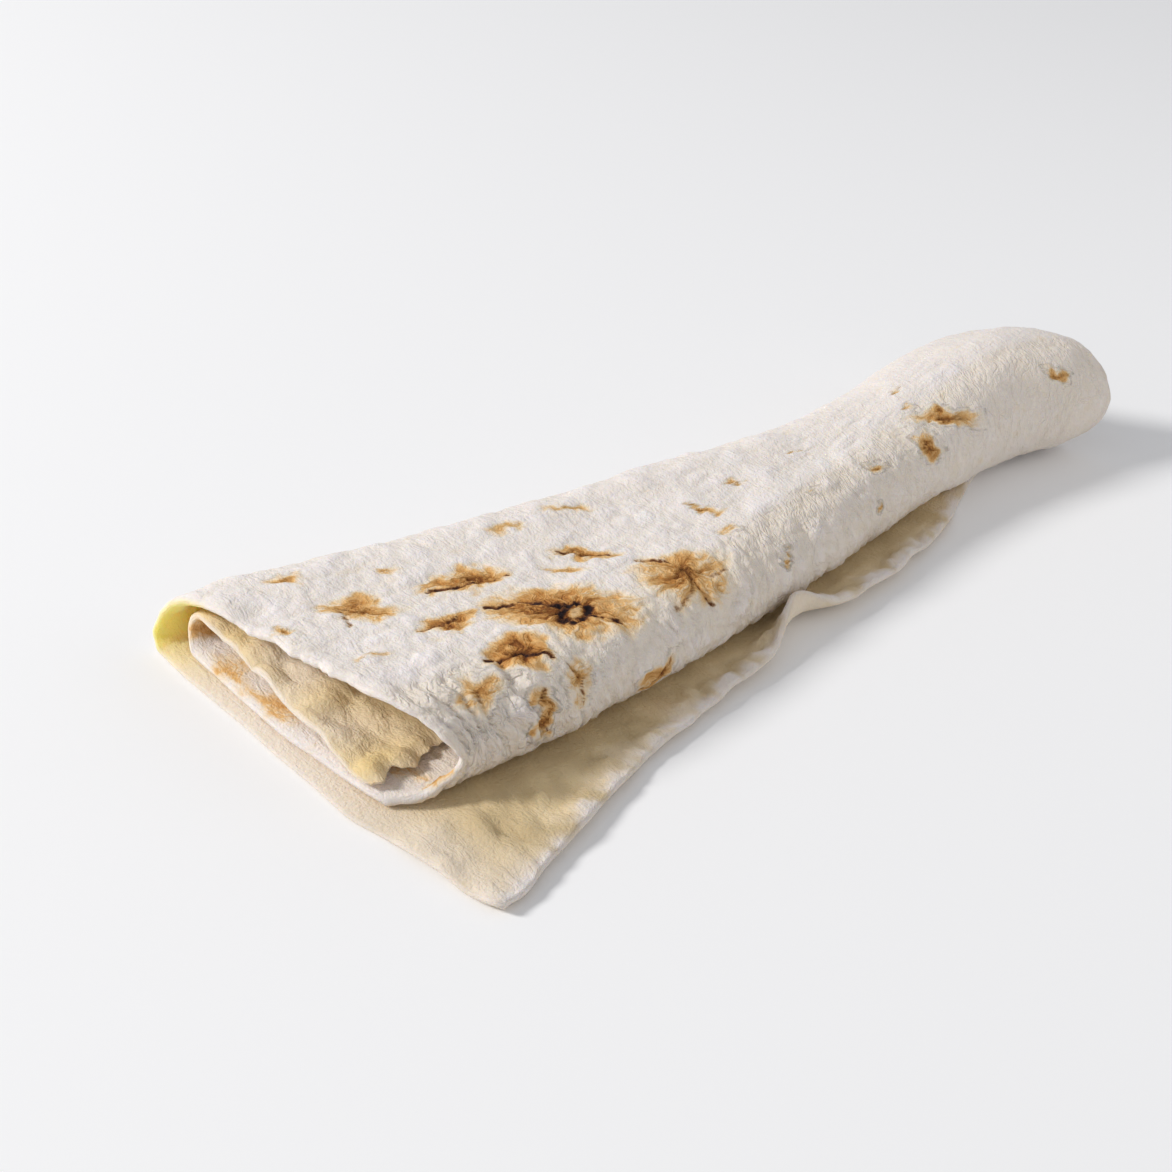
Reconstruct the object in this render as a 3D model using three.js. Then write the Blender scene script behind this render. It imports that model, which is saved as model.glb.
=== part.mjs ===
// Folded lavash flatbread: one thin sheet of bread folded three times into a flat roll of four layers.
// Millimetres, +Z up, X along the roll, -Y the side where the loose flap lies. Going across the sheet:
// loose flap and bottom layer, big back fold, top layer, front fold, inner layer, small inner fold,
// and the short layer inside the roll, which ends in a torn edge.
import * as THREE from 'three';

// ---- driving dimensions ----
const THICKNESS = 3.0;
const LAYER_GAP = 0.6;            // air left between layers that lie on each other
const ROLL_LENGTH = 376;

// The roll's cross-section at places along its length, as a share of ROLL_LENGTH from the open end:
// front = front fold, back = back fold, crown = height of the top layer behind the front fold,
// shoulder = its height at the back fold, sag = how far it sags between them (it swells where that is
// negative), edge = the flap's loose edge.
const STATIONS = [
  { at: 0.00, front: 0, back: 126, crown: 35, shoulder: 29, sag: 2.2, edge: -47 },
  { at: 0.20, front: 2, back: 113, crown: 34, shoulder: 29.5, sag: 2.2, edge: -18 },
  { at: 0.44, front: 14, back: 103, crown: 33, shoulder: 31.5, sag: 1.2, edge: 0 },
  { at: 0.66, front: 30, back: 95, crown: 37, shoulder: 35, sag: -1.5, edge: 17 },
  { at: 0.84, front: 37, back: 101, crown: 49, shoulder: 45, sag: -3, edge: 48 },
  { at: 0.94, front: 32, back: 101, crown: 50, shoulder: 46, sag: -3, edge: 53 },
  { at: 1.00, front: 27, back: 97, crown: 46, shoulder: 42, sag: -3, edge: 56 },
];

// Proportions of the folds
const BACK_BOTTOM_INSET = 6;      // from the back fold to where the bottom layer starts to turn up
const BACK_TOP_INSET = 20;        // from the back fold to where the top layer has turned flat
const BACK_BULGE = 4;             // how far the handle of the back fold's curve stands out
const CROWN_INSET = 22;           // from the front fold back to the highest line
const NOSE_SWELL = 1;             // how far the handle of the front fold's curve stands over the crown
const NOSE_SHARE = 0.46;          // height of the foremost line of the front fold, share of the crown
const KEEL_INSET = 9;             // from the front fold back to where it meets the bottom layer
const INNER_FOLD_INSET = 12;      // from the back fold to the small inner fold
const INNER_FOLD_DEPTH = 6;
const INNER_FOLD_HEIGHT = 11;
const TORN_INSET = 14;            // from the front fold to the torn edge at the open end
const TORN_DRIFT = 0.22;          // how much further in the torn edge lies for each mm along the roll
const TORN_INSET_MAX = 30;
const TORN_WAVES = [{ height: 1.6, length: 30 }, { height: 1, length: 12 }];
const FLAP_LEAST = 2;             // the least width of the flap
const FLAP_FOOT = 15;             // the flap counts as the bottom layer from here, inside the front fold
const FLAP_LIFT = 4;              // the loose edge of the flap curls up a little past the middle
const FLAP_LIFT_WIDTH = 16;
const FLAP_LIFT_FROM = 0.28;      // where along the roll the lift starts, and its length, as shares
const FLAP_LIFT_SPAN = 0.45;

// Where the handles of each curve lie, as a share of the way between the curve's ends
const HANDLE = {
  backFold: 0.1, topStart: 0.3, topEnd: 0.65, noseTop: 0.45, noseFront: 0.6, under: 0.4, insideStart: 0.3,
  insideEnd: 0.7,
};

// Where the two ends of the sheet lie along X, joint by joint across the sheet
const ENDS = {
  flapEdge: { near: 3, far: 352 },
  flapFoot: { near: -11, far: 350 },
  backBottom: { near: -25, far: 346 },
  backTop: { near: -12, far: 348 },
  crown: { near: 5, far: 369 },
  nose: { near: 21, far: 371 },
  keel: { near: -4, far: 364 },
  innerBottom: { near: -18, far: 358 },
  innerTop: { near: -10, far: 362 },
  tornEdge: { near: -4, far: 366 },
};

// Steps of the mesh: along the roll, and across each stretch of the sheet
const STEPS_ALONG = 36;
const STEPS = {
  flap: 5, bottom: 5, backFold: 9, top: 8, nose: 6, under: 5, inner: 6, innerFold: 7, inside: 7,
};

const BOTTOM_Z = THICKNESS / 2;
const INNER_Z = BOTTOM_Z + THICKNESS + LAYER_GAP;
const TORN_Z = INNER_Z + THICKNESS + LAYER_GAP;

// ---- helpers ----
const lerp = THREE.MathUtils.lerp;
const clamp = THREE.MathUtils.clamp;

// Smooth value of one station field at x (a cubic through the stations)
function along(field, x) {
  const share = clamp(x / ROLL_LENGTH, 0, 1);
  let i = 0;
  while (i < STATIONS.length - 2 && share > STATIONS[i + 1].at) i += 1;
  const at = (k) => STATIONS[clamp(k, 0, STATIONS.length - 1)];
  const slope = (k) => (at(k + 1)[field] - at(k - 1)[field]) / (at(k + 1).at - at(k - 1).at);
  const span = at(i + 1).at - at(i).at;
  const s = (share - at(i).at) / span;
  const s2 = s * s;
  const s3 = s2 * s;
  return (2 * s3 - 3 * s2 + 1) * at(i)[field] + (s3 - 2 * s2 + s) * span * slope(i)
    + (3 * s2 - 2 * s3) * at(i + 1)[field] + (s3 - s2) * span * slope(i + 1);
}

// The wavy line of the torn edge
function tornLine(x, front) {
  const inset = Math.min(TORN_INSET + TORN_DRIFT * Math.max(x, 0), TORN_INSET_MAX);
  const wave = TORN_WAVES.reduce((sum, w) => sum + w.height * Math.sin(2 * Math.PI * x / w.length), 0);
  return front + inset + wave;
}

const bezier = (...p) => new THREE.CubicBezierCurve(...p);
const point = (y, z) => new THREE.Vector2(y, z);

// The stretches of the folded sheet's centre line in the YZ plane at x
function sectionCurves(x) {
  const front = along('front', x);
  const back = along('back', x);
  const crown = along('crown', x) - THICKNESS / 2;
  const edge = along('edge', x);
  const foot = Math.max(edge + FLAP_LEAST, front + FLAP_FOOT);
  const bottomEnd = back - BACK_BOTTOM_INSET;
  const topStart = back - BACK_TOP_INSET;
  const shoulder = along('shoulder', x) - THICKNESS / 2;
  const sag = along('sag', x);
  const crownY = front + CROWN_INSET;
  const noseZ = crown * NOSE_SHARE;
  const keelY = front + KEEL_INSET;
  const innerLine = back - INNER_FOLD_INSET - INNER_FOLD_DEPTH;
  const innerTop = INNER_Z + INNER_FOLD_HEIGHT;
  const tornY = tornLine(x, front);
  return {
    flap: new THREE.LineCurve(point(edge, BOTTOM_Z), point(foot, BOTTOM_Z)),
    bottom: new THREE.LineCurve(point(foot, BOTTOM_Z), point(bottomEnd, BOTTOM_Z)),
    backFold: bezier(point(bottomEnd, BOTTOM_Z),
      point(back + BACK_BULGE, lerp(BOTTOM_Z, shoulder, HANDLE.backFold)),
      point(back, shoulder), point(topStart, shoulder)),
    top: bezier(point(topStart, shoulder), point(lerp(topStart, crownY, HANDLE.topStart), shoulder - sag),
      point(lerp(topStart, crownY, HANDLE.topEnd), crown - sag), point(crownY, crown)),
    nose: bezier(point(crownY, crown), point(lerp(front, crownY, HANDLE.noseTop), crown + NOSE_SWELL),
      point(front, lerp(noseZ, crown, HANDLE.noseFront)), point(front, noseZ)),
    under: bezier(point(front, noseZ), point(front, lerp(INNER_Z, noseZ, HANDLE.under)),
      point(lerp(front, keelY, HANDLE.under), INNER_Z), point(keelY, INNER_Z)),
    inner: new THREE.LineCurve(point(keelY, INNER_Z), point(innerLine, INNER_Z)),
    innerFold: new THREE.EllipseCurve(innerLine, (INNER_Z + innerTop) / 2, INNER_FOLD_DEPTH,
      INNER_FOLD_HEIGHT / 2, -Math.PI / 2, Math.PI / 2),
    inside: bezier(point(innerLine, innerTop), point(lerp(innerLine, tornY, HANDLE.insideStart), innerTop),
      point(lerp(innerLine, tornY, HANDLE.insideEnd), TORN_Z), point(tornY, TORN_Z)),
  };
}

// Which joints of ENDS each stretch runs between
const JOINTS = {
  flap: ['flapEdge', 'flapFoot'],
  bottom: ['flapFoot', 'backBottom'],
  backFold: ['backBottom', 'backTop'],
  top: ['backTop', 'crown'],
  nose: ['crown', 'nose'],
  under: ['nose', 'keel'],
  inner: ['keel', 'innerBottom'],
  innerFold: ['innerBottom', 'innerTop'],
  inside: ['innerTop', 'tornEdge'],
};

// The rows of the mesh across the sheet: each is a place t on one stretch
function sheetRows() {
  const rows = [];
  for (const [name, steps] of Object.entries(STEPS)) {
    const first = rows.length === 0 ? 0 : 1;
    for (let k = first; k <= steps; k += 1) rows.push({ name, t: k / steps });
  }
  return rows;
}

function endOfSheet(row, side) {
  const [from, to] = JOINTS[row.name];
  return lerp(ENDS[from][side], ENDS[to][side], row.t);
}

// The loose edge of the flap lifts off the table between the roll's middle and where it tucks under
function flapLift(x, y, edge) {
  const reach = clamp(1 - (y - edge) / FLAP_LIFT_WIDTH, 0, 1);
  const stretch = clamp((x / ROLL_LENGTH - FLAP_LIFT_FROM) / FLAP_LIFT_SPAN, 0, 1);
  return FLAP_LIFT * Math.sin(Math.PI * stretch) * reach * reach;
}

// A point of the sheet's middle surface, u along the roll from 0 to 1
function sheetPoint(row, u) {
  const x = lerp(endOfSheet(row, 'near'), endOfSheet(row, 'far'), u);
  const p = sectionCurves(x)[row.name].getPoint(row.t);
  const lift = row.name === 'flap' ? flapLift(x, p.x, along('edge', x)) : 0;
  return new THREE.Vector3(x, p.x, p.y + lift);
}

// A closed solid: two faces offset from the middle surface, joined by four rims
function sheetGeometry() {
  const rows = sheetRows();
  const columns = STEPS_ALONG + 1;
  const middle = rows.map((row) => {
    const line = [];
    for (let i = 0; i < columns; i += 1) line.push(sheetPoint(row, i / STEPS_ALONG));
    return line;
  });
  const positions = [];
  const offsetFace = (side) => {
    for (let j = 0; j < rows.length; j += 1) {
      for (let i = 0; i < columns; i += 1) {
        const alongX = middle[j][Math.min(i + 1, columns - 1)].clone().sub(middle[j][Math.max(i - 1, 0)]);
        const across = middle[Math.min(j + 1, rows.length - 1)][i].clone()
          .sub(middle[Math.max(j - 1, 0)][i]);
        const normal = alongX.cross(across).normalize();
        const p = middle[j][i].clone().addScaledVector(normal, side * THICKNESS / 2);
        positions.push(p.x, p.y, p.z);
      }
    }
  };
  offsetFace(1);
  offsetFace(-1);

  const index = [];
  const quad = (a, b, c, d) => index.push(a, b, c, a, c, d);
  const upper = (j, i) => j * columns + i;
  const lower = (j, i) => rows.length * columns + j * columns + i;
  const lastRow = rows.length - 1;
  for (let j = 0; j < lastRow; j += 1) {
    for (let i = 0; i < STEPS_ALONG; i += 1) {
      quad(upper(j, i), upper(j, i + 1), upper(j + 1, i + 1), upper(j + 1, i));
      quad(lower(j, i), lower(j + 1, i), lower(j + 1, i + 1), lower(j, i + 1));
    }
    quad(upper(j, 0), upper(j + 1, 0), lower(j + 1, 0), lower(j, 0));
    quad(upper(j + 1, STEPS_ALONG), upper(j, STEPS_ALONG), lower(j, STEPS_ALONG), lower(j + 1, STEPS_ALONG));
  }
  for (let i = 0; i < STEPS_ALONG; i += 1) {
    quad(upper(0, i + 1), upper(0, i), lower(0, i), lower(0, i + 1));
    quad(upper(lastRow, i), upper(lastRow, i + 1), lower(lastRow, i + 1), lower(lastRow, i));
  }

  const geometry = new THREE.BufferGeometry();
  geometry.setAttribute('position', new THREE.Float32BufferAttribute(positions, 3));
  geometry.setIndex(index);
  return geometry;
}

// ---- the part, its origin at the middle of the bottom of its box ----
const geometry = sheetGeometry();
geometry.computeBoundingBox();
const box = geometry.boundingBox;
geometry.translate(-(box.min.x + box.max.x) / 2, -(box.min.y + box.max.y) / 2, -box.min.z);
geometry.computeVertexNormals();

const bread = new THREE.MeshStandardMaterial({ color: '#e6ddcd', roughness: 0.9, metalness: 0 });
const lavash = new THREE.Mesh(geometry, bread);
lavash.name = 'lavash';

const part = new THREE.Group();
part.add(lavash);

export default part;
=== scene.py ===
"""Folded lavash flatbread: one thin sheet, made flat as the dough is rolled, then folded into the roll."""
import math
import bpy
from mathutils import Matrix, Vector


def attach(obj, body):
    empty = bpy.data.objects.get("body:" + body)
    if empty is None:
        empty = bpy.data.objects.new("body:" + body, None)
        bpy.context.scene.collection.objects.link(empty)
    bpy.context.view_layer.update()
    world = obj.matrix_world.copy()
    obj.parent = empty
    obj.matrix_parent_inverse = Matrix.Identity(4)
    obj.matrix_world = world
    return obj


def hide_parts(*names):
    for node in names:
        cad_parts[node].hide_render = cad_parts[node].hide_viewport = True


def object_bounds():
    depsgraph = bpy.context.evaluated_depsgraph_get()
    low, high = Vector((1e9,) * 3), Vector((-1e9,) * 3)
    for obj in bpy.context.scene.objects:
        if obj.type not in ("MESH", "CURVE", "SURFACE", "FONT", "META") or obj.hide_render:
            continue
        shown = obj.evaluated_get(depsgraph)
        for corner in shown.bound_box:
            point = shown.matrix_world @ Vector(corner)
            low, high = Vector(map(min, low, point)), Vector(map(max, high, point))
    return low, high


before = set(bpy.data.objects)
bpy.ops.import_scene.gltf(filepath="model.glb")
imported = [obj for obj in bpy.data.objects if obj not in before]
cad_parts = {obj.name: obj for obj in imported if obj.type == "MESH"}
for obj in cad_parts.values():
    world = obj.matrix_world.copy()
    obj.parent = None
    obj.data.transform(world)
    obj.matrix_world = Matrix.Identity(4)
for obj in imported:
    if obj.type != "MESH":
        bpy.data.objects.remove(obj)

from types import SimpleNamespace

import bmesh
import bpy
import numpy as np
from mathutils import Euler, Vector, noise

cad_low, cad_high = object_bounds()
MM = 0.001

# ---- driving sizes, in millimetres, the same roll as the CAD part ----
THICKNESS = 3.0
LAYER_GAP = 0.6
ROLL_LENGTH = 376
STATIONS = {
    "at": (0.00, 0.20, 0.44, 0.66, 0.84, 0.94, 1.00),     # share of the roll's length
    "front": (0, 2, 14, 30, 37, 32, 27),                  # front fold
    "back": (126, 113, 103, 95, 101, 101, 97),            # back fold
    "crown": (35, 34, 33, 37, 49, 50, 46),                # height of the top layer behind the front fold
    "shoulder": (29, 29.5, 31.5, 35, 45, 46, 42),         # its height at the back fold
    "sag": (2.2, 2.2, 1.2, -1.5, -3, -3, -3),             # how far the top layer sags between them
    "edge": (-47, -18, 0, 17, 48, 53, 56),                # loose edge of the flap
}
BACK_BOTTOM_INSET = 6
BACK_TOP_INSET = 20
BACK_BULGE = 4                    # how far the back fold's curve is pulled out
CROWN_INSET = 22
NOSE_SWELL = 1                    # how far the front fold's curve is pulled up over the crown
NOSE_SHARE = 0.46
KEEL_INSET = 9
INNER_FOLD_INSET = 12
INNER_FOLD_DEPTH = 6
INNER_FOLD_HEIGHT = 11
TORN_INSET = 14
TORN_DRIFT = 0.22
TORN_INSET_MAX = 30
FLAP_LEAST = 2
FLAP_FOOT = 15
FLAP_LIFT = 4
FLAP_LIFT_WIDTH = 16
CURL_AT = 168                     # where the flap's edge curls up, and how long the curl is
CURL_LENGTH = 13
CURL_HEIGHT = 9
FLAP_LIFT_FROM = 0.28             # share of the roll's length where the flap starts to rise
FLAP_LIFT_SPAN = 0.45             # and the share over which it rises and falls
PINCH_AT = 36                     # the front fold is creased around this place near the mouth
PINCH_LENGTH = 28
DRAPE_APART = 5.6                 # millimetres from one of those creases to the next
DRAPE_DEPTH = 2.8
CORNER = 1                        # how far the flap's corner is rounded
RIM_BULGE = 1.2                   # the rim is as round as the sheet is thick
SKINS_APART = 5                   # millimetres between the two faces in the pattern's space
DEEPEST_CREASE = -2.1             # the sheet stays this side of its inner skin
SCORCH_SINK = 0.35                # how deep browned, puckered and burnt places lie
PUCKER_DEPTH = 1.6
CHAR_DEPTH = 0.8
MOUTH_REACH = 90                  # how far in from the mouth the inside is lumpy
GLOW_REACH = 34                   # how far in from the mouth the tan spots and the daylight reach
JOINT_ROWS = 12                   # rows over which the top's stretches run into each other
JOINT_PASSES = 90
BOTTOM_Z = THICKNESS / 2
INNER_Z = BOTTOM_Z + THICKNESS + LAYER_GAP
TORN_Z = INNER_Z + THICKNESS + LAYER_GAP

# Each stretch across the sheet: rows of mesh, and where its two ends lie along X at the start and end joint
STRETCHES = (
    # name, rows, near end of the sheet from / to, far end from / to
    ("flap", 28, 3, -11, 352, 350),
    ("bottom", 14, -11, -25, 350, 346),
    ("back_fold", 28, -25, -12, 346, 348),
    ("top", 84, -12, 5, 348, 369),
    ("nose", 42, 5, 21, 369, 371),
    ("under", 14, 21, -4, 371, 364),
    ("inner", 14, -4, -18, 364, 358),
    ("inner_fold", 12, -18, -10, 358, 362),
    ("inside", 38, -10, -4, 362, 366),
)
# stretches that share a finish
ZONES = {
    "upper": ("top", "nose", "under", "back_fold"),
    "lower": ("bottom", "flap"),
    "inside": ("inside", "inner_fold"),
    "nose": ("nose", "under"),
    "pocket": ("nose", "under", "inner", "inner_fold"),
    "lying": ("bottom", "inner"),
    "top": ("top",),
    "back_fold": ("back_fold",),
    "flap": ("flap",),
}
COLUMNS_NEAR = 150                # the open end, which shows its layers, has the finer mesh
COLUMNS_FAR = 126
NEAR_SHARE = 0.42
HIDDEN_MARKS = 46                 # marks scattered where the sheet is out of sight
HIDDEN_SEED = 11
FLOOR_HALF = 15.0                 # metres
CAMERA_PLACE = (-188.0, -304.5, 338.5)          # in the roll's own place
CAMERA_TURN = (50.44, 34.68, 3.25)              # heading, elevation and roll in degrees
CAMERA_LENS = 49.15
SENSOR = 36


def along(field, x):
    """Smooth value of one station field at x: a cubic through the stations."""
    at = np.array(STATIONS["at"]) * ROLL_LENGTH
    value = np.array(STATIONS[field], float)
    last = len(at) - 1
    after = np.minimum(np.arange(last + 1) + 1, last)
    before = np.maximum(np.arange(last + 1) - 1, 0)
    slope = (value[after] - value[before]) / (at[after] - at[before])
    i = np.clip(np.searchsorted(at, x, side="right") - 1, 0, last - 1)
    span = at[i + 1] - at[i]
    s = np.clip((x - at[i]) / span, 0, 1)
    return (
        (2 * s**3 - 3 * s**2 + 1) * value[i]
        + (s**3 - 2 * s**2 + s) * span * slope[i]
        + (3 * s**2 - 2 * s**3) * value[i + 1]
        + (s**3 - s**2) * span * slope[i + 1]
    )


CORNER_Y = along("edge", np.array([float(STRETCHES[0][2])]))[0]
# from the roll's own place, with its front fold at the open end at zero, to the CAD part's frame
SHIFT = np.array([cad_low.x / MM - STRETCHES[1][3], cad_low.y / MM - CORNER_Y, 0])


def mix(a, b, t):
    """From a where t is 0 to b where t is 1."""
    return a + (b - a) * t


def smooth_step(low, high, value):
    """From 0 at low to 1 at high, level at both ends."""
    s = np.clip((value - low) / (high - low), 0, 1)
    return s * s * (3 - 2 * s)


def bump(value, centre, width):
    """1 at the centre, falling away smoothly on both sides."""
    return np.exp(-(((value - centre) / width) ** 2))


def bezier(t, *points):
    """Y and Z on a cubic through four control points."""
    weights = ((1 - t) ** 3, 3 * t * (1 - t) ** 2, 3 * t**2 * (1 - t), t**3)
    return [sum(w * p[k] for w, p in zip(weights, points)) for k in (0, 1)]


def tear(x):
    """How far the torn edge wanders from its line at x."""
    return 5.0 * ripple(x, 0 * x, 11, 31.5) + 3.2 * ripple(x, 0 * x, 3.4, 32.5)


def section(name, t, x):
    """Y and Z of the sheet's middle at place t of one stretch, where the roll is cut at x."""
    front, back, edge = along("front", x), along("back", x), along("edge", x)
    crown = along("crown", x) - THICKNESS / 2
    foot = np.maximum(edge + FLAP_LEAST, front + FLAP_FOOT)
    top_start = back - BACK_TOP_INSET
    shoulder, sag = along("shoulder", x) - THICKNESS / 2, along("sag", x)
    crown_y = front + CROWN_INSET
    nose_z = crown * NOSE_SHARE
    inner_line = back - INNER_FOLD_INSET - INNER_FOLD_DEPTH
    inner_top = INNER_Z + INNER_FOLD_HEIGHT
    torn_y = front + np.minimum(TORN_INSET + TORN_DRIFT * np.maximum(x, 0), TORN_INSET_MAX) + tear(x)
    turn = math.pi * (t - 0.5)
    if name == "flap":
        return mix(edge, foot, t), BOTTOM_Z + 0 * x
    if name == "bottom":
        return mix(foot, back - BACK_BOTTOM_INSET, t), BOTTOM_Z + 0 * x
    if name == "back_fold":
        return bezier(
            t, (back - BACK_BOTTOM_INSET, BOTTOM_Z), (back + BACK_BULGE, mix(BOTTOM_Z, shoulder, 0.1)),
            (back, shoulder), (top_start, shoulder))
    if name == "top":
        return bezier(
            t, (top_start, shoulder), (mix(top_start, crown_y, 0.3), shoulder - sag),
            (mix(top_start, crown_y, 0.65), crown - sag), (crown_y, crown))
    if name == "nose":
        return bezier(
            t, (crown_y, crown), (mix(front, crown_y, 0.45), crown + NOSE_SWELL),
            (front, mix(nose_z, crown, 0.6)), (front, nose_z))
    if name == "under":
        return bezier(
            t, (front, nose_z), (front, mix(INNER_Z, nose_z, 0.4)),
            (front + KEEL_INSET * 0.4, INNER_Z), (front + KEEL_INSET, INNER_Z))
    if name == "inner":
        return mix(front + KEEL_INSET, inner_line, t), INNER_Z + 0 * x
    if name == "inner_fold":
        middle = (INNER_Z + inner_top) / 2
        return inner_line + INNER_FOLD_DEPTH * np.cos(turn), middle + INNER_FOLD_HEIGHT / 2 * np.sin(turn)
    return bezier(
        t, (inner_line, inner_top), (mix(inner_line, torn_y, 0.3), inner_top),
        (mix(inner_line, torn_y, 0.7), TORN_Z), (torn_y, TORN_Z))


def even_places(name, count, first):
    """Places on a stretch that lie equally far apart at the middle of the roll."""
    t = np.linspace(0, 1, 200)
    y, z = section(name, t, np.full(t.shape, ROLL_LENGTH * 0.4))
    length = np.concatenate([[0], np.cumsum(np.hypot(np.diff(y), np.diff(z)))])
    return np.interp(np.linspace(0, length[-1], count + 1)[first:], length, t)


def sheet_rows():
    """One entry for each row across the sheet: its stretch, place, and the sheet's two ends along X."""
    names, places, near, far = [], [], [], []
    for name, count, near_a, near_b, far_a, far_b in STRETCHES:
        t = even_places(name, count, 1 if names else 0)
        names += [name] * len(t)
        places.append(t)
        near.append(mix(near_a, near_b, t))
        far.append(mix(far_a, far_b, t))
    return np.array(names), np.concatenate(places), np.concatenate(near), np.concatenate(far)


def blurred(values, passes):
    """Values along the rows with their corners rounded off, the two ends kept."""
    for _ in range(passes):
        inner = (values[:-2] + 2 * values[1:-1] + values[2:]) / 4
        values = np.concatenate([values[:1], inner, values[-1:]])
    return values


def ripple(a, b, size, seed):
    """Smooth noise from -1 to 1 at places (a, b) of the sheet, its bumps about size millimetres apart.
    The seed picks the pattern."""
    places = zip((a / size).ravel(), (b / size).ravel())
    return np.array([noise.noise(Vector((p, q, seed))) for p, q in places]).reshape(a.shape)


def normals_of(points):
    """Unit normals of a grid of points: rows across the sheet, columns along it."""
    along_x = np.gradient(points, axis=1)
    across = np.gradient(points, axis=0)
    n = np.cross(along_x, across)
    return n / np.linalg.norm(n, axis=2, keepdims=True)


# ---- scorch marks on the outer face, where blisters touched the griddle ----
# along the roll, across from the front fold towards the back, length, width, turn in degrees, heat
SCORCHES = (
    (79, 40, 54, 27, -43, 0.72), (65, 77, 32, 15, -20, 0.6), (46, 59, 18, 12, -10, 0.6),
    (53, 31, 24, 15, -38, 0.75), (108, 61, 26, 8, -43, 0.6), (93, 59, 16, 6, -43, 0.4),
    (127, 26, 38, 26, -30, 0.55), (33, 23, 16, 14, 0, 0.42), (67, 12, 16, 10, 70, 0.45),
    (100, -1, 20, 8, 43, 0.5), (122, 87, 20, 6, -40, 0.35), (96, 92, 20, 6, -35, 0.3),
    (160, 50, 17, 4, -47, 0.5), (182, 54, 9, 3, -45, 0.4), (156, 36, 11, 5, -48, 0.25),
    (26, 86, 30, 15, -42, 0.55), (16, 117, 17, 6, -35, 0.4), (47, 101, 16, 7, -35, 0.35),
    (1, 90, 9, 4, -35, 0.4), (13, 57, 12, 4, -40, 0.28), (342, 20, 12, 5, -30, 0.5),
    (274, 50, 8, 4, -80, 0.4), (270, 35, 5, 4, 0, 0.35), (281, 22, 34, 7, -26, 0.5),
    (265, 15, 12, 10, -20, 0.55), (234, 20, 9, 4, -20, 0.4), (215, 51, 5, 3, 0, 0.3),
    (200, 26, 5, 3, 0, 0.3), (226, 9, 7, 4, 0, 0.45), (171, 10, 5, 4, 0, 0.3),
    (51, 5, 24, 7, 90, 0.55),
)
# burnt creases inside the marks: half width, heat, and the places they run through
BURNT_CREASES = (
    (0.95, 0.7, (60, 57), (69, 54), (75, 49), (79, 42)),
    (0.9, 0.65, (84, 31), (87, 28), (91, 23)),
    (0.75, 0.6, (51, 80), (62, 75), (69, 73), (78, 71)),
    (0.75, 0.5, (36, 60), (46, 60), (50, 61)),
    (0.8, 0.7, (42, 34), (52, 31), (56, 27), (61, 23)),
    (0.75, 0.55, (100, 69), (104, 64), (109, 59), (114, 55)),
    (0.85, 0.42, (117, 43), (123, 39), (127, 34), (128, 22), (129, 11)),
    (0.8, 0.38, (128, 28), (136, 19), (145, 20)),
    (0.8, 0.32, (128, 24), (122, 18), (114, 17)),
    (0.8, 0.45, (16, 94), (19, 90), (20, 85), (19, 78)),
    (0.8, 0.35, (19, 90), (28, 90)),
    (0.8, 0.35, (33, 28), (31, 19)),
    (0.8, 0.4, (65, 19), (69, 12), (66, 5)),
    (0.8, 0.32, (106, 5), (98, -4), (92, -8)),
    (0.8, 0.4, (53, 14), (49, 10), (50, 3), (54, -3)),
    (1.0, 0.25, (267, 30), (281, 21), (290, 17)),
)
BURST_BLISTER = (81, 36, 5.6)     # a blister that burst: along, across, radius of its charred ring
# raised round blisters: along, across, diameter, height
BLISTERS = (
    (27, 45, 10, 1.3), (44, 11, 11, 1.5), (13, 57, 8, 0.8), (36, 68, 7, 0.7), (20, 66, 9, 0.7),
    (38, 48, 6, 0.6), (55, 92, 9, 0.7), (90, 74, 8, 0.6), (140, 62, 10, 0.7), (175, 34, 9, 0.7),
    (110, 10, 9, 0.8), (140, 4, 8, 0.8), (12, 100, 8, 0.6), (190, 14, 9, 0.7), (300, 40, 12, 0.8),
)
FLAP_BUBBLES = ((35, -12, 4.5), (24, -25, 3.5), (46, -4, 3.5), (14, -16, 3))      # x, y, radius
SCORCH_REACH = 1.25               # the browning fades out at this many radii of a mark
FAN_FOLD = 4.4                    # millimetres between the creases that run out from a mark
DRAPE_RUN = 14                    # millimetres along a crease of the front fold for one change in it
FANS_APART = 7                    # so no two marks share their creases


def off_line(x, y, points):
    """Distance of each place from a line through the given points."""
    nearest = np.full(x.shape, 1e3)
    for (ax, ay), (bx, by) in zip(points[:-1], points[1:]):
        run = (bx - ax) ** 2 + (by - ay) ** 2
        s = np.clip(((x - ax) * (bx - ax) + (y - ay) * (by - ay)) / run, 0, 1)
        nearest = np.minimum(nearest, np.hypot(x - ax - s * (bx - ax), y - ay - s * (by - ay)))
    return nearest


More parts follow.
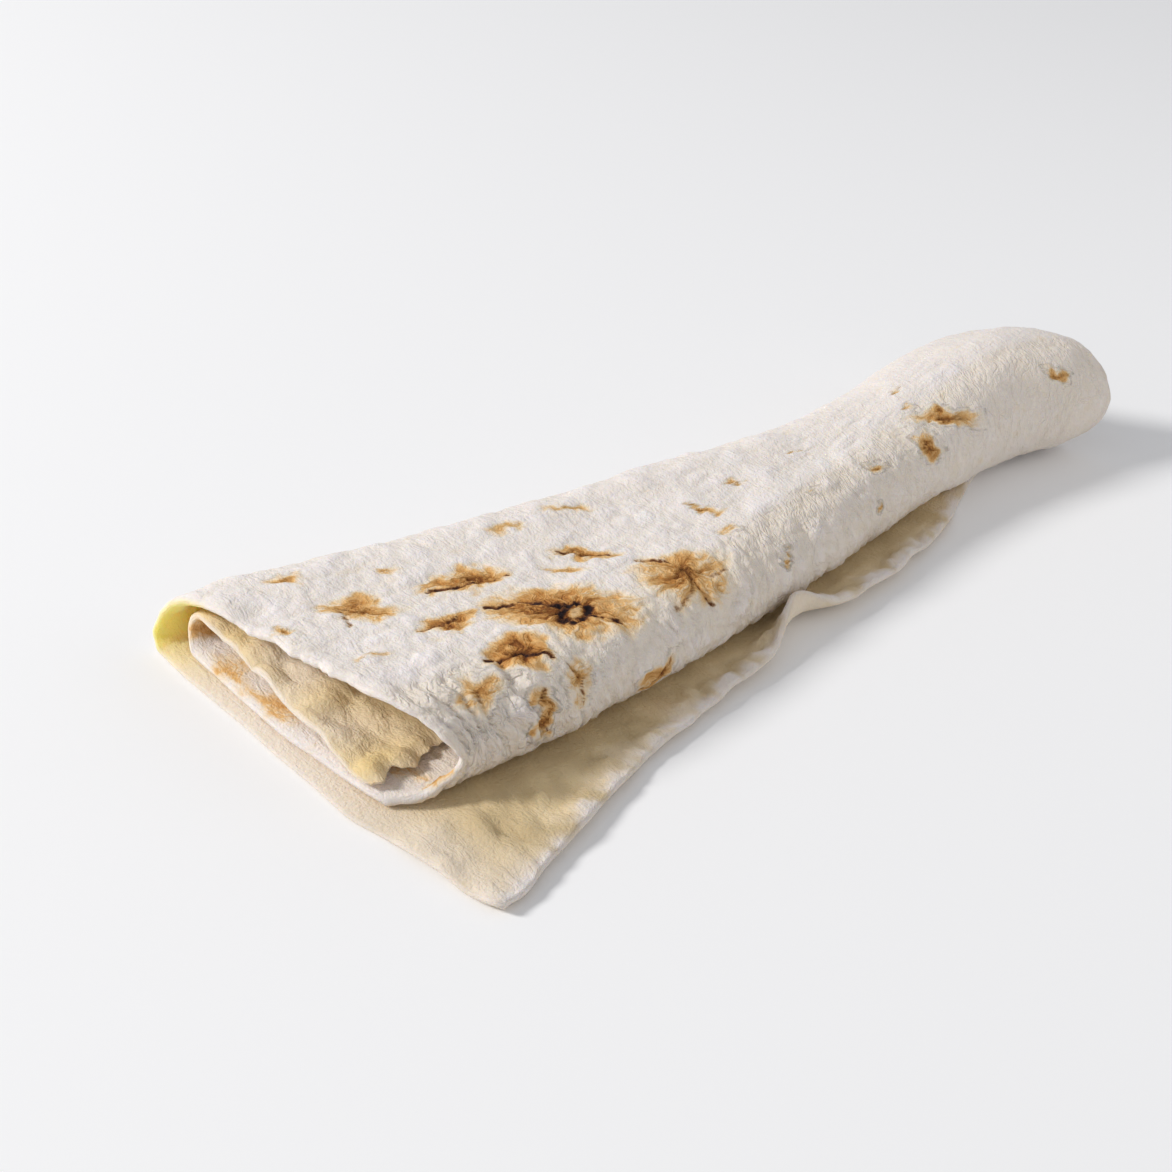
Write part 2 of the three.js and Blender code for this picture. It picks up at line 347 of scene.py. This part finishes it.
def scorch_fields(x, across):
    """Toast: how brown the marks are. Pucker: creases that run out from their middles. Char: burnt creases.
    Fan: places in each mark's own space, where steps around its middle are as long as steps out from it.
    Apart: radii from the nearest mark's middle."""
    warp_x = x + 4.5 * ripple(x, across, 8, 11.5) + 2.4 * ripple(x, across, 2.8, 12.5)
    warp_y = across + 4.5 * ripple(x, across, 8, 23.5) + 2.4 * ripple(x, across, 2.8, 24.5)
    toast, pucker, char = np.zeros(x.shape), np.zeros(x.shape), np.zeros(x.shape)
    fan, apart = np.zeros(x.shape + (3,)), np.full(x.shape, 9.0)
    for number, (mark_x, mark_y, length, width, turn, heat) in enumerate(SCORCHES + hidden_scorches()):
        c, s = math.cos(math.radians(turn)), math.sin(math.radians(turn))
        dx, dy = warp_x - mark_x, warp_y - mark_y
        p = (c * dx + s * dy) / (length / 2)
        q = (c * dy - s * dx) / (width / 2)
        r = np.hypot(p, q)
        here = r < SCORCH_REACH
        apart = np.minimum(apart, r)
        brown = 1.3 * heat * (1 - r[here] / SCORCH_REACH)
        folds = (length + width) / 4 / FAN_FOLD                  # how many creases fit around the mark
        turn_x, turn_y = folds * p[here] / (r[here] + 0.05), folds * q[here] / (r[here] + 0.05)
        crease = furrows(turn_x + r[here], turn_y, 1, 60.5 + number, 0.26)
        stronger = brown > toast[here]
        toast[here] = np.where(stronger, brown, toast[here])
        pucker[here] = np.where(stronger, crease * brown, pucker[here])
        own = np.stack([turn_x, turn_y, r[here] + FANS_APART * number], axis=-1)
        fan[here] = np.where(stronger[:, None], own, fan[here])
    near_x, near_y = mix(x, warp_x, 0.45), mix(across, warp_y, 0.45)
    broken = 1 + 0.8 * ripple(x, across, 4.2, 27.5)
    for half_width, heat, *points in BURNT_CREASES:
        line = bump(off_line(near_x, near_y, points), 0, half_width * broken)
        char = np.maximum(char, heat * np.clip(broken, 0, 1) * line)
    ring_x, ring_y, radius = BURST_BLISTER
    ring = np.hypot((near_x - ring_x) * 0.85, near_y - ring_y)
    ring = ring + 1.1 * ripple(x, across, 3.6, 28.5)
    rough = np.clip(0.95 + 1.5 * ripple(x, across, 2.4, 29.5), 0.35, 1.6)
    char = np.maximum(char, np.clip(0.45 + 0.5 * rough, 0, 1) * bump(ring, radius - 0.8, 1.5 * rough))
    burst = smooth_step(radius - 2.0, radius - 3.4, ring)    # the bare dough under the burst skin
    toast = mix(np.maximum(toast, 0.7 * char), 0.14, burst)
    return toast, mix(pucker, 0.3, burst), np.maximum(char, 0.5 * bump(ring, 0, 0.9)), fan, apart


def hidden_scorches():
    """More marks like the listed ones, scattered over the back fold and the underside."""
    dice = np.random.default_rng(HIDDEN_SEED)
    marks = []
    for _ in range(HIDDEN_MARKS):
        length = dice.uniform(7, 26)
        marks.append((
            dice.uniform(-15, 355), dice.uniform(128, 330), length, length * dice.uniform(0.3, 0.6),
            dice.uniform(-60, 0), 0.25 + 0.016 * length))
    return tuple(marks)


def blister_field(x, across):
    """Height of the raised round blisters."""
    height = np.zeros(x.shape)
    for place_x, place_y, diameter, rise in BLISTERS:
        r = np.hypot(x - place_x, across - place_y) / (diameter / 2)
        height = np.maximum(height, rise * np.clip(1 - r * r, 0, 1) ** 0.7)
    return height


def furrows(a, b, size, seed, width):
    """Thin winding creases, 1 along their bottoms and 0 between them."""
    return np.exp(-((ripple(a, b, size, seed) / width) ** 2))


def bubble_rings(x, y):
    """Raised rings on the flap, left by bubbles in the dough."""
    height = np.zeros(x.shape)
    for place_x, place_y, radius in FLAP_BUBBLES:
        r = np.hypot(x - place_x, y - place_y) + 0.8 * ripple(x, y, 4, 53.5)
        height = np.maximum(height, 0.9 * bump(r, radius, 1.3))
    return height


# ---- the sheet ----
def folded_middle():
    """Each row's stretch, and the middle of the folded sheet on a grid: rows across it, columns along it."""
    names, places, near, far = sheet_rows()
    row = np.arange(len(near), dtype=float)
    near = blurred(near, 30) + 1.6 * ripple(row, 0 * row, 11, 41.5) + 0.8 * ripple(row, 0 * row, 3, 42.5)
    near = near + CORNER * bump(row, 0, 2.2)
    far = blurred(far, 60) + 2.0 * ripple(row, 0 * row, 14, 43.5) + 0.6 * ripple(row, 0 * row, 4, 44.5)
    u = np.concatenate([
        np.linspace(0, NEAR_SHARE, COLUMNS_NEAR + 1),
        np.linspace(NEAR_SHARE, 1, COLUMNS_FAR + 1)[1:],
    ])
    x = mix(near[:, None], far[:, None], u[None, :])
    y, z = np.zeros(x.shape), np.zeros(x.shape)
    for name, *_ in STRETCHES:
        rows = names == name
        y[rows], z[rows] = section(name, places[rows][:, None] + 0 * x[rows], x[rows])
    middle = np.stack([x, y, z], axis=2)
    # the stretches of the top run on without a kink
    joints = [
        bump(row, np.flatnonzero(names == name)[-1], JOINT_ROWS) for name in ("back_fold", "top")]
    return names, mix(middle, blurred(middle, JOINT_PASSES), np.maximum(*joints)[:, None, None])


def measured(names, middle):
    """Where each place of the sheet lies: along and across it, from its edges, and how far in each zone."""
    x, y = middle[..., 0], middle[..., 1]
    steps = np.linalg.norm(np.diff(middle, axis=0), axis=2)
    across = np.concatenate([np.zeros((1, x.shape[1])), np.cumsum(steps, axis=0)])
    across = across[np.flatnonzero(names == "nose")[-1]] - across         # positive towards the back fold
    zones = {
        zone: blurred(np.isin(names, wanted).astype(float), 12)[:, None]
        for zone, wanted in ZONES.items()}
    return SimpleNamespace(
        names=names, x=x, y=y, across=across, from_mouth=x - x[:, :1], from_far=x[:, -1:] - x,
        to_torn=across - across[-1:], to_loose=across[:1] - across,
        pinch=bump(x, PINCH_AT, PINCH_LENGTH) * zones["nose"],
        free=zones["flap"] * smooth_step(1, -9, y - along("front", x)),   # nothing lies on this part
        **zones)


def waved(at, middle):
    """The middle with the slow waves of soft bread."""
    wave = ripple(at.x, at.across, 34, 1.5) * at.top + ripple(at.x, at.across, 16, 2.5) * at.upper
    wave = wave + 1.6 * ripple(at.x, at.across, 21, 9.5) * at.upper * bump(at.from_mouth, 0, 30)
    wave = wave + 2.5 * bump(at.from_far, 0, 9) * at.upper
    lumps = 3.4 * np.abs(ripple(at.x, at.across, 13, 4.5)) - 0.3
    wave = wave - lumps * at.inside * mix(0.3, 1, bump(at.from_mouth, 0, MOUTH_REACH))
    near_rim = bump(at.from_mouth, 0, 9)
    wave = wave + 1.4 * ripple(at.across, 0 * at.x, 13, 9.2) * near_rim * (at.upper + at.inside)
    wave = wave * (1 - at.lying) * (1 - at.flap)
    return middle + normals_of(middle) * wave[..., None]


def flap_lifted(at, middle):
    """The middle with the flap's loose edge raised past the roll's middle, and curled up at one place."""
    sticks_out = smooth_step(0, -8, along("edge", at.x) - along("front", at.x))
    reach = np.clip(1 - (at.y - along("edge", at.x)) / FLAP_LIFT_WIDTH, 0, 1)
    reach = reach * sticks_out * (at.names == "flap")[:, None]
    lift = FLAP_LIFT * np.sin(math.pi * np.clip((at.x / ROLL_LENGTH - FLAP_LIFT_FROM) / FLAP_LIFT_SPAN, 0, 1))
    lift = lift + 1.4 * (1 + ripple(at.x, 0 * at.x, 22, 45.5)) * smooth_step(0, 20, at.from_mouth)
    curl = bump(at.x, CURL_AT, CURL_LENGTH)
    moved = middle.copy()
    moved[..., 1] += CURL_HEIGHT * curl * reach**3 + 1.5 * ripple(at.x, 0 * at.x, 13, 46.5) * reach
    moved[..., 1] += CORNER * bump(at.from_mouth, 0, 4) * reach**2
    moved[..., 2] += lift * reach**2 + CURL_HEIGHT * curl * reach
    near_mouth = at.free * bump(at.from_mouth, 0, 26)
    moved[..., 2] += (1.0 + 1.6 * ripple(at.x, at.across, 15, 47.5)) * near_mouth
    return moved


def drape_creases(at):
    """Creases that run around the front fold near the mouth: their depth, and places counted in creases."""
    place = at.x / DRAPE_APART + 1.8 * ripple(at.x, at.across * 0.6, 19, 3.5)
    place = place + 0.25 * ripple(at.x, at.across, 6, 3.6)
    uneven = np.clip(0.9 + 1.6 * ripple(at.x, at.across * 0.4, 11, 3.7), 0, 1.6)
    return DRAPE_DEPTH * (1 - np.abs(np.sin(math.pi * place))) ** 2.5 * uneven * at.pinch, place


def crust_relief(at, toast, pucker, char):
    """Height of the outer face: puffs with creases between them, blisters, sunk and puckered marks."""
    flow_x = at.x + 5 * ripple(at.x, at.across, 19, 6.1)
    flow_y = at.across + 5 * ripple(at.x, at.across, 19, 6.2)
    puffs = np.abs(ripple(at.x, at.across, 9.5, 6.5)) + 0.5 * np.abs(ripple(flow_x, flow_y, 4.6, 5.5))
    puffs = puffs + 0.2 * ripple(at.x, at.across, 2.3, 8.2)
    folds = furrows(flow_x, flow_y * 0.4, 5.2, 7.5, 0.14)
    relief = puffs - 0.35 - 0.6 * folds * mix(0.15, 1, at.nose)
    lumpy = mix(0.9, 1.9, bump(at.from_mouth, 0, MOUTH_REACH)) * at.inside
    relief = relief * (at.upper + lumpy + 0.25 * at.lower) * (1 - 0.6 * at.pinch)
    flowing = furrows(flow_x + 0.4 * flow_y, flow_y * 0.3, 3.4, 7.9, 0.2)
    relief = relief - 0.6 * flowing * mix(0.3, 1, at.nose) * at.upper
    relief = relief * mix(1, 0.5, smooth_step(190, 320, at.x))
    relief = relief * (1 - 0.6 * toast) + blister_field(at.x, at.across) * at.upper
    sunk = relief - SCORCH_SINK * toast - PUCKER_DEPTH * pucker - CHAR_DEPTH * char
    return np.maximum(sunk, DEEPEST_CREASE)


def skins(at, middle, relief, creases):
    """Points of the outer and the inner skin, and how far the rim between them swells outward."""
    # the sheet thins a little towards its rim, and much more at the torn edge
    to_edge = np.minimum(at.to_loose, at.to_torn)
    to_rim = np.minimum(np.minimum(at.from_mouth, at.from_far), to_edge)
    round_off = np.clip(to_rim / THICKNESS, 0, 1) ** 0.5
    thin = mix(0.25, 1, np.clip(at.to_torn / 5, 0, 1))
    puffed = 0.3 + 0.4 * ripple(at.across, 0 * at.x, 12, 54.5)
    puffed = puffed * bump(at.from_mouth, 2, 4) * (1 - at.lower)
    normal = normals_of(middle)
    half = (THICKNESS / 2 * mix(0.8, 1.0, round_off) * thin * (1 + puffed))[..., None] * normal

    # the inner skin is softer, and shows on the flap
    soft = 3.4 * np.abs(ripple(at.x, at.across, 9, 8.5)) + 1.6 * ripple(at.x, at.across, 4.5, 8.8)
    soft = (soft + bubble_rings(at.x, at.y)) * np.maximum(at.free, 0.5 * at.back_fold)
    fade = mix(0.4, 1, round_off)
    outer = middle - half - normal * ((relief - creases) * fade)[..., None]
    inner = middle + half + normal * ((soft + creases) * fade)[..., None]
    # the bottom layer lies on the table, and the inner layer lies on the bottom one
    under = np.where(np.isin(at.names, ("nose", "under", "inner")), THICKNESS + LAYER_GAP / 3, 0)[:, None]
    outer[..., 2] = np.maximum(outer[..., 2], under)
    inner[..., 2] = np.maximum(inner[..., 2], under + THICKNESS / 4)

    outward = np.zeros(middle.shape)
    for border, neighbour in ((np.s_[:, 0], np.s_[:, 1]), (np.s_[:, -1], np.s_[:, -2]),
                              (np.s_[0], np.s_[1]), (np.s_[-1], np.s_[-2])):
        away = middle[border] - middle[neighbour]
        outward[border] += away / np.linalg.norm(away, axis=-1, keepdims=True)
    return outer, inner, outward * (RIM_BULGE * thin)[..., None]


def folded_sheet():
    """The folded sheet on a grid: points of its two skins, its rim, and what the shader reads."""
    names, middle = folded_middle()
    at = measured(names, middle)
    middle = flap_lifted(at, waved(at, middle))
    griddled = np.maximum(at.upper, at.lower)
    toast, pucker, char, fan, apart = scorch_fields(at.x, at.across)
    toast, pucker, char = toast * griddled, pucker * griddled, char * griddled
    relief = crust_relief(at, toast, pucker, char)
    creases, crease_place = drape_creases(at)
    outer, inner, outward = skins(at, middle, relief, creases)
    drape = np.stack([crease_place, at.across / DRAPE_RUN, 0 * at.x - FANS_APART], axis=-1)
    fan = np.where(apart[..., None] > SCORCH_REACH, drape, fan)
    clear = smooth_step(SCORCH_REACH, SCORCH_REACH + 0.3, apart)

    # toasted spots in the pocket near the mouth, partly painted shade in the gap between its layers
    tan_spots_and_gap_shade = np.clip(1.7 * ripple(at.x, at.across, 9, 61.5) - 0.1, 0, 0.5)
    tan_spots_and_gap_shade = tan_spots_and_gap_shade * bump(at.from_mouth, 0, GLOW_REACH)
    torn = 0.18 * np.exp(-at.to_torn / 1.6) * (names == "inside")[:, None]
    floury = np.exp(-np.minimum(at.to_loose, at.to_torn) / 5) * at.flap
    floury = np.clip(floury * (0.75 + 0.8 * ripple(at.x, at.across, 5, 51.5)), 0, 0.8)
    # painted shade: the flap's face is darker where the roll shades it, mottled at random, and lighter near
    # the mouth where light reaches it
    painted_flap_shade = at.flap * (1 - floury) * (0.7 + 0.9 * ripple(at.x, at.across, 13, 55.5))
    painted_flap_shade = painted_flap_shade * mix(0.2, 1, smooth_step(3, 30, at.from_mouth))
    uneven = 0.8 + 0.5 * ripple(at.x, at.across, 16, 52.5)
    # painted light: the inner faces have less cream, so are paler, in the pocket and towards the mouth, where
    # light falls in at the open end
    cream = 0.75 + 0.15 * at.flap - 1.1 * floury - 0.5 * at.pocket      # paler at the mouth
    return {
        "x": at.x, "across": at.across, "outer": outer, "inner": inner, "outward": outward,
        "toast_outer": np.maximum(toast, torn), "toast_and_gap_shade_inner": np.maximum(tan_spots_and_gap_shade * at.pocket, torn),
        "pucker": 0.7 * pucker, "char": char, "fan": fan,
        "creased": np.maximum(toast, 0.9 * clear * np.maximum(at.pinch, 0.4 * at.nose)),
        # painted shade: the crust is darker in the hollows of its relief
        "hollow_shade": 0.6 * np.clip(0.45 - relief * 0.9, 0, 1) * griddled,
        "cream_outer": np.clip(0.85 * at.inside * uneven + 0.12 * at.nose + 0.4 * at.lower, 0, 1),
        # painted light: less cream towards the mouth
        "cream_inner": np.clip(cream * mix(0.45, 1, smooth_step(0, 32, at.from_mouth)) + at.back_fold, 0, 1),
        # painted glow: the back fold's inner face is yellower and brighter near the mouth, where daylight
        # shines through it
        "painted_glow": at.back_fold * bump(at.from_mouth, 0, GLOW_REACH),
        "painted_flap_shade": np.clip(painted_flap_shade, 0, 1),
    }


def border_edges(bm, z):
    """The outline of the flat skin that lies at z."""
    return [e for e in bm.edges if e.is_boundary and abs(e.verts[0].co.z - z) < 0.1]


def flat_sheet(rows, columns):
    """A flat block of dough: a fine grid above, one of half the mesh below, and a rim between them.
    A vertex lies at its column and row, from skin 1 above to skin -1 below, for the fold to look up."""
    bm = bmesh.new()
    for skin, step in ((1, 1), (-1, 2)):
        grid = bmesh.ops.create_grid(
            bm, x_segments=(columns - 1) // step, y_segments=(rows - 1) // step, size=1)
        for v in grid["verts"]:
            v.co = ((v.co.x + 1) / 2 * (columns - 1), (v.co.y + 1) / 2 * (rows - 1), skin)
    bmesh.ops.subdivide_edges(bm, edges=border_edges(bm, -1), cuts=1)
    rim = bmesh.ops.bridge_loops(bm, edges=border_edges(bm, 1) + border_edges(bm, -1))
    across_rim = [e for e in rim["edges"] if abs(e.verts[0].co.z - e.verts[1].co.z) > 1]
    bmesh.ops.subdivide_edges(bm, edges=across_rim, cuts=3)
    bmesh.ops.triangulate(bm, faces=[f for f in bm.faces if len(f.verts) > 4])
    return bm


def make_bread():
    """The bread as one closed mesh, with what its material reads."""
    sheet = folded_sheet()
    rows, columns = sheet["x"].shape
    bm = flat_sheet(rows, columns)
    column = np.array([round(v.co.x) for v in bm.verts])
    row = np.array([round(v.co.y) for v in bm.verts])
    skin = np.array([v.co.z for v in bm.verts])

    def of_vertices(name):
        return sheet[name][row, column]

    rise = (1 + np.sin(skin * math.pi / 2))[:, None] / 2     # 0 on the inner skin, 1 on the outer one
    swell = np.cos(skin * math.pi / 2)[:, None]
    places = mix(of_vertices("inner"), of_vertices("outer"), rise) + of_vertices("outward") * swell
    places = (places + SHIFT) * MM
    for v, place in zip(bm.verts, places):
        v.co = place
    bmesh.ops.recalc_face_normals(bm, faces=bm.faces[:])
    if bm.calc_volume(signed=True) < 0:                      # the fold turned the block inside out
        bmesh.ops.reverse_faces(bm, faces=bm.faces[:])

    mesh = bpy.data.meshes.new("lavash_bread")
    bm.to_mesh(mesh)
    bm.free()
    mesh.shade_smooth()
    outer_side = np.clip(skin, 0, 1)
    between = skin * SKINS_APART                             # so the two faces don't share their pattern
    pattern = np.stack([of_vertices("x"), of_vertices("across"), between], axis=1) * MM
    write_attribute(mesh, "sheet", pattern)
    write_attribute(mesh, "fan", of_vertices("fan"))
    for name in ("pucker", "char", "hollow_shade", "creased"):
        write_attribute(mesh, name, of_vertices(name) * outer_side)
    for name in ("painted_glow", "painted_flap_shade"):
        write_attribute(mesh, name, of_vertices(name) * (1 - rise[:, 0]))
    toasted = mix(of_vertices("toast_and_gap_shade_inner"), of_vertices("toast_outer"), rise[:, 0])
    write_attribute(mesh, "toast", toasted)
    cream = mix(of_vertices("cream_inner"), of_vertices("cream_outer"), rise[:, 0])
    write_attribute(mesh, "cream", cream * mix(1, 0.55, swell[:, 0]))      # the rim stays pale
    piece = bpy.data.objects.new("lavash_bread", mesh)
    bpy.context.scene.collection.objects.link(piece)
    return piece


def write_attribute(mesh, name, values):
    """Stores one number, or one vector, for each vertex."""
    kind, field = ("FLOAT", "value") if values.ndim == 1 else ("FLOAT_VECTOR", "vector")
    layer = mesh.attributes.new(name, kind, "POINT")
    layer.data.foreach_set(field, values.astype(np.float32).ravel())


# ---- materials ----
def colour(code):
    """A linear colour from an sRGB hex value."""
    parts = [int(code[i:i + 2], 16) / 255 for i in (1, 3, 5)]
    return [p / 12.92 if p <= 0.04045 else ((p + 0.055) / 1.055) ** 2.4 for p in parts] + [1.0]


def add(tree, kind, links=None, values=None, **settings):
    """A node with its settings, socket values and links from other nodes' sockets."""
    made = tree.nodes.new(kind)
    for name, value in settings.items():
        setattr(made, name, value)
    for socket, value in (values or {}).items():
        made.inputs[socket].default_value = value
    for socket, source in (links or {}).items():
        tree.links.new(source, made.inputs[socket])
    return made


# sockets of a Mix node that mixes colours
MIX_FACTOR, MIX_FIRST, MIX_SECOND, MIX_RESULT = 0, 6, 7, 2
# noise in the sheet's own space: size in millimetres and detail; the grain is coarser than flour, to show
PATTERNS = {
    "cloudy": (22, 3), "spots": (7, 2), "patchy": (5, 3),
    "crumple": (4.2, 4), "fine": (1.6, 3), "grain": (0.8, 2),
}
FIELDS = ("sheet", "fan", "creased", "toast", "pucker", "char", "hollow_shade", "cream", "painted_glow", "painted_flap_shade")
# place along the ramp and colour, from pale toast to brown, and from brown to char
TOASTED = ((0.05, "#F3E6D2"), (0.2, "#EFD4AA"), (0.42, "#E4B577"), (0.7, "#C68B4A"), (1.0, "#8A5429"))
BURNT = ((0.0, "#A8713E"), (0.4, "#7A4C2A"), (0.7, "#45291F"), (1.0, "#261B1C"))


def bread_material():
    """Griddled flatbread: floured white crust, cream where it is folded in, scorched where it blistered.
    The broken browning and fine crumple tell the eye it is thin, dry, baked dough and not cloth."""
    material = bpy.data.materials.new("griddled_flatbread_crust")
    material.use_nodes = True
    tree = material.node_tree
    tree.nodes.clear()
    field = {name: add(tree, "ShaderNodeAttribute", attribute_name=name).outputs for name in FIELDS}
    sheet = field["sheet"]["Vector"]
    pattern = {}
    for name, (size, detail) in PATTERNS.items():
        pattern[name] = add(tree, "ShaderNodeTexNoise", {"Vector": sheet},
                            {"Scale": 1 / (size * MM), "Detail": detail, "Roughness": 0.55}).outputs["Fac"]

    # the pale crust, and the cream of the folded-in faces, with painted shade in the hollows and on the flap
    # and a painted glow in the back fold; each layer covers the one before by its factor
    freckles = add(tree, "ShaderNodeMapRange", {"Value": pattern["spots"]},
                   {"From Min": 0.63, "From Max": 1.1})
    folded_in = add(tree, "ShaderNodeMix", {MIX_FACTOR: pattern["cloudy"]},
                    {MIX_FIRST: colour("#F0D9A9"), MIX_SECOND: colour("#DCBE80")}, data_type="RGBA")
    base = add(tree, "ShaderNodeMix", {MIX_FACTOR: pattern["cloudy"]},
               {MIX_FIRST: colour("#EBE1DC"), MIX_SECOND: colour("#F5EEEA")}, data_type="RGBA")
    for factor, cover in (
        # painted shade in the crust's hollows
        (field["hollow_shade"]["Fac"], colour("#E8DCCB")),
        (freckles.outputs["Result"], colour("#EAD3A8")),
        (field["cream"]["Fac"], folded_in.outputs[MIX_RESULT]),
        # painted shade on the flap
        (field["painted_flap_shade"]["Fac"], colour("#CBB48B")),
        # painted glow of daylight through the back fold
        (field["painted_glow"]["Fac"], colour("#FFE98A")),
    ):
        links, values = {MIX_FACTOR: factor, MIX_FIRST: base.outputs[MIX_RESULT]}, {}
        if isinstance(cover, list):                          # one plain colour
            values[MIX_SECOND] = cover
        else:
            links[MIX_SECOND] = cover
        base = add(tree, "ShaderNodeMix", links, values, data_type="RGBA")

    # browning broken up by two sizes of noise
    ragged = add(tree, "ShaderNodeMath", {0: pattern["patchy"], 1: pattern["fine"]}, operation="ADD")
    broken = add(tree, "ShaderNodeMath", {0: ragged.outputs[0]}, {1: 0.75, 2: 0.05},
                 operation="MULTIPLY_ADD")
    heat = add(tree, "ShaderNodeMath",
               {0: field["toast"]["Fac"], 1: broken.outputs[0], 2: field["pucker"]["Fac"]},
               operation="MULTIPLY_ADD")
    # creases that fan out from a mark, sharpest where it is hottest
    fanned = add(tree, "ShaderNodeTexNoise", {"Vector": field["fan"]["Vector"]},
               {"Scale": 1.6, "Detail": 2.0, "Roughness": 0.6, "Distortion": 0.3})
    folded = add(tree, "ShaderNodeMath", {0: fanned.outputs["Fac"]}, {1: 0.5}, operation="PINGPONG")
    rays = add(tree, "ShaderNodeMapRange", {"Value": folded.outputs[0]}, {"From Min": 0.42, "From Max": 0.5})
    browned = add(tree, "ShaderNodeMath", {0: rays.outputs["Result"], 1: field["toast"]["Fac"]},
                  operation="MULTIPLY")
    heat = add(tree, "ShaderNodeMath", {0: browned.outputs[0], 2: heat.outputs[0]}, {1: 0.4},
               operation="MULTIPLY_ADD")
    raised = add(tree, "ShaderNodeMath", {0: rays.outputs["Result"], 1: field["creased"]["Fac"]},
                 operation="MULTIPLY")
    gaps = add(tree, "ShaderNodeMath", {0: ragged.outputs[0]}, {1: 2.0, 2: -0.9},
               operation="MULTIPLY_ADD")
    scorched = add(tree, "ShaderNodeMath", {0: field["char"]["Fac"], 1: gaps.outputs[0]},
                   operation="MULTIPLY", use_clamp=True)
    for source, stops, begins, full in ((heat, TOASTED, 0.0, 0.34), (scorched, BURNT, 0.15, 0.48)):
        ramp = add(tree, "ShaderNodeValToRGB", {"Fac": source.outputs[0]})
        while len(ramp.color_ramp.elements) < len(stops):
            ramp.color_ramp.elements.new(0.5)
        for element, (place, code) in zip(ramp.color_ramp.elements, stops):
            element.position = place
            element.color = colour(code)
        shows = add(tree, "ShaderNodeMapRange", {"Value": source.outputs[0]},
                    {"From Min": begins, "From Max": full})
        base = add(tree, "ShaderNodeMix",
                   {MIX_FACTOR: shows.outputs["Result"], MIX_FIRST: base.outputs[MIX_RESULT],
                    MIX_SECOND: ramp.outputs["Color"]}, data_type="RGBA")

    # fine relief: crumple, stretched skin, and grain; ping-pong folds the noise into creases
    stretched = add(tree, "ShaderNodeMapping", {"Vector": sheet},
                    {"Rotation": (0, 0, math.radians(-35)), "Scale": (1, 0.35, 1)})
    skin = add(tree, "ShaderNodeTexNoise", {"Vector": stretched.outputs["Vector"]},
               {"Scale": 1 / (3 * MM), "Detail": 3.0, "Distortion": 0.6})
    height = pattern["fine"]
    for source, share, creased in (
        (pattern["grain"], 0.5, False), (raised.outputs[0], 2.2, False),
        (pattern["crumple"], 1.8, True), (skin.outputs["Fac"], 3.0, True),
    ):
        if creased:
            source = add(tree, "ShaderNodeMath", {0: source}, {1: 0.5}, operation="PINGPONG").outputs[0]
        height = add(tree, "ShaderNodeMath", {0: source, 2: height}, {1: share},
                     operation="MULTIPLY_ADD").outputs[0]
    relief = add(tree, "ShaderNodeBump", {"Height": height}, {"Strength": 0.7, "Distance": 0.45 * MM},
                 invert=True)
    # daylight comes through the thin back fold near the mouth, as subsurface light here and as the painted
    # glow in its colour
    glow = add(tree, "ShaderNodeMapRange", {"Value": field["painted_glow"]["Fac"]}, {"To Min": 0.2, "To Max": 1.0})
    depth = add(tree, "ShaderNodeMapRange", {"Value": field["painted_glow"]["Fac"]},
                {"To Min": 1.0 * MM, "To Max": 5.0 * MM})
    shader = add(tree, "ShaderNodeBsdfPrincipled",
                 {"Base Color": base.outputs[MIX_RESULT], "Normal": relief.outputs["Normal"],
                  "Subsurface Weight": glow.outputs["Result"], "Subsurface Scale": depth.outputs["Result"]},
                 {"Roughness": 0.85, "IOR": 1.45, "Subsurface Radius": (1.0, 0.7, 0.35),
                  "Specular IOR Level": 0.2})
    add(tree, "ShaderNodeOutputMaterial", {"Surface": shader.outputs["BSDF"]})
    return material


def floor_material():
    """Matt painted board, a plain pale ground."""
    material = bpy.data.materials.new("matt_painted_board")
    material.use_nodes = True
    shader = material.node_tree.nodes["Principled BSDF"]
    shader.inputs["Base Color"].default_value = colour("#FBFAF9")
    shader.inputs["Roughness"].default_value = 0.9
    return material


# ---- the stage: floor, lights and camera ----
def make_floor():
    """A level square far larger than the bread."""
    bm = bmesh.new()
    bmesh.ops.create_grid(bm, x_segments=1, y_segments=1, size=FLOOR_HALF)
    mesh = bpy.data.meshes.new("floor")
    bm.to_mesh(mesh)
    bm.free()
    floor = bpy.data.objects.new("floor", mesh)
    floor.data.materials.append(floor_material())
    bpy.context.scene.collection.objects.link(floor)
    return floor


def soft_light(name, place, size, power):
    """A round soft lamp that faces the middle of the floor."""
    data = bpy.data.lights.new(name, "AREA")
    data.shape = "DISK"
    data.size = size
    data.energy = power
    light = bpy.data.objects.new(name, data)
    light.location = place
    light.rotation_euler = (-Vector(place)).to_track_quat("-Z", "Y").to_euler()
    bpy.context.scene.collection.objects.link(light)


def make_camera():
    """The camera stands off the open end of the roll, above the flap's side, and leans a little."""
    data = bpy.data.cameras.new("camera")
    data.lens = CAMERA_LENS
    data.sensor_width = SENSOR
    camera = bpy.data.objects.new("camera", data)
    heading, elevation, roll = (math.radians(a) for a in CAMERA_TURN)
    camera.location = (np.array(CAMERA_PLACE) + SHIFT) * MM
    turn = Euler((math.pi / 2 - elevation, 0, heading - math.pi / 2)).to_matrix()
    lean = Euler((0, 0, roll)).to_matrix()
    camera.rotation_euler = (turn @ lean).to_euler()
    bpy.context.scene.collection.objects.link(camera)
    bpy.context.scene.camera = camera


def make_world():
    """Even pale light from all round."""
    world = bpy.data.worlds.new("studio")
    world.use_nodes = True
    background = world.node_tree.nodes["Background"]
    background.inputs["Color"].default_value = colour("#F3F5FA")
    background.inputs["Strength"].default_value = 0.5
    bpy.context.scene.world = world


bread = make_bread()
bread.data.materials.append(bread_material())
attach(bread, "root")
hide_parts("lavash")

make_floor()
make_world()
soft_light("window", (-2.5, 1.75, 2.0), 0.9, 97)
soft_light("fill", (0.55, -0.55, 0.5), 0.6, 0.7)
make_camera()
bpy.context.scene.view_settings.view_transform = "Standard"
